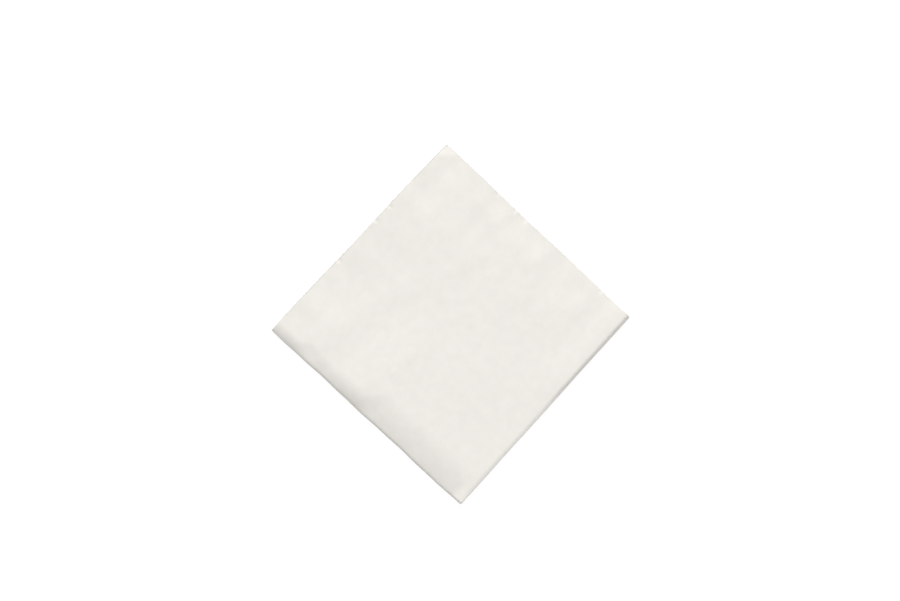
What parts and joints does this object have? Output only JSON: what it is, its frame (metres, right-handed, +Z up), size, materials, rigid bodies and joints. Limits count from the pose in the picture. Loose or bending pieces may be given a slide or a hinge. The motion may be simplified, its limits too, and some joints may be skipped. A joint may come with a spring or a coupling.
{
  "type": "folded paper napkin",
  "caption": "Square two-ply white paper napkin, quarter folded and lying flat, whose quarters unfold on two crossing fold lines.",
  "frame": {"origin": "on the surface that the napkin lies on, under the centre of the folded square", "axes": "+Z up through the stack; the second fold is the edge at -X, the first fold is the edge at -Y, and the cut edges are at +X and +Y"},
  "size_m": [0.165, 0.165, 0.0035],
  "materials": {
    "face_ply": "matte",
    "back_ply": "matte"
  },
  "bodies": {
    "bottom_quarter": {"bottom_quarter_face_ply": "face_ply", "bottom_quarter_back_ply": "back_ply", "first_fold_lower_face_ply": "face_ply", "first_fold_lower_back_ply": "back_ply", "second_fold_outer_lower_face_ply": "face_ply", "second_fold_outer_lower_back_ply": "back_ply", "closed_corner_face_ply": "face_ply", "closed_corner_back_ply": "back_ply"},
    "lower_middle_quarter": {"lower_middle_quarter_back_ply": "back_ply", "lower_middle_quarter_face_ply": "face_ply", "second_fold_inner_face_ply": "face_ply", "second_fold_inner_back_ply": "back_ply"},
    "upper_middle_quarter": {"upper_middle_quarter_face_ply": "face_ply", "upper_middle_quarter_back_ply": "back_ply", "first_fold_upper_face_ply": "face_ply", "first_fold_upper_back_ply": "back_ply"},
    "top_quarter": {"top_quarter_back_ply": "back_ply", "top_quarter_face_ply": "face_ply", "second_fold_outer_upper_face_ply": "face_ply", "second_fold_outer_upper_back_ply": "back_ply"}
  },
  "joints": [
    {"name": "first_fold", "type": "hinge", "parent": "bottom_quarter", "child": "lower_middle_quarter", "pos_m": [0, -0.08175, 0.00075], "axis": [1, 0, 0], "range_deg": [0, 180], "deforming": ["first_fold_lower_face_ply", "first_fold_lower_back_ply"]},
    {"name": "second_fold", "type": "hinge", "parent": "lower_middle_quarter", "child": "upper_middle_quarter", "pos_m": [-0.08075, 0, 0.00175], "axis": [0, -1, 0], "range_deg": [0, 180], "deforming": ["second_fold_inner_face_ply", "second_fold_inner_back_ply", "second_fold_outer_lower_face_ply", "second_fold_outer_lower_back_ply", "second_fold_outer_upper_face_ply", "second_fold_outer_upper_back_ply", "closed_corner_face_ply", "closed_corner_back_ply"]},
    {"name": "first_fold_upper", "type": "hinge", "parent": "upper_middle_quarter", "child": "top_quarter", "pos_m": [0, -0.08175, 0.00275], "axis": [1, 0, 0], "range_deg": [0, 180], "deforming": ["first_fold_upper_face_ply", "first_fold_upper_back_ply"]}
  ],
  "couplings": [
    {"joint": "first_fold_upper", "follows": "first_fold", "ratio": 1}
  ]
}
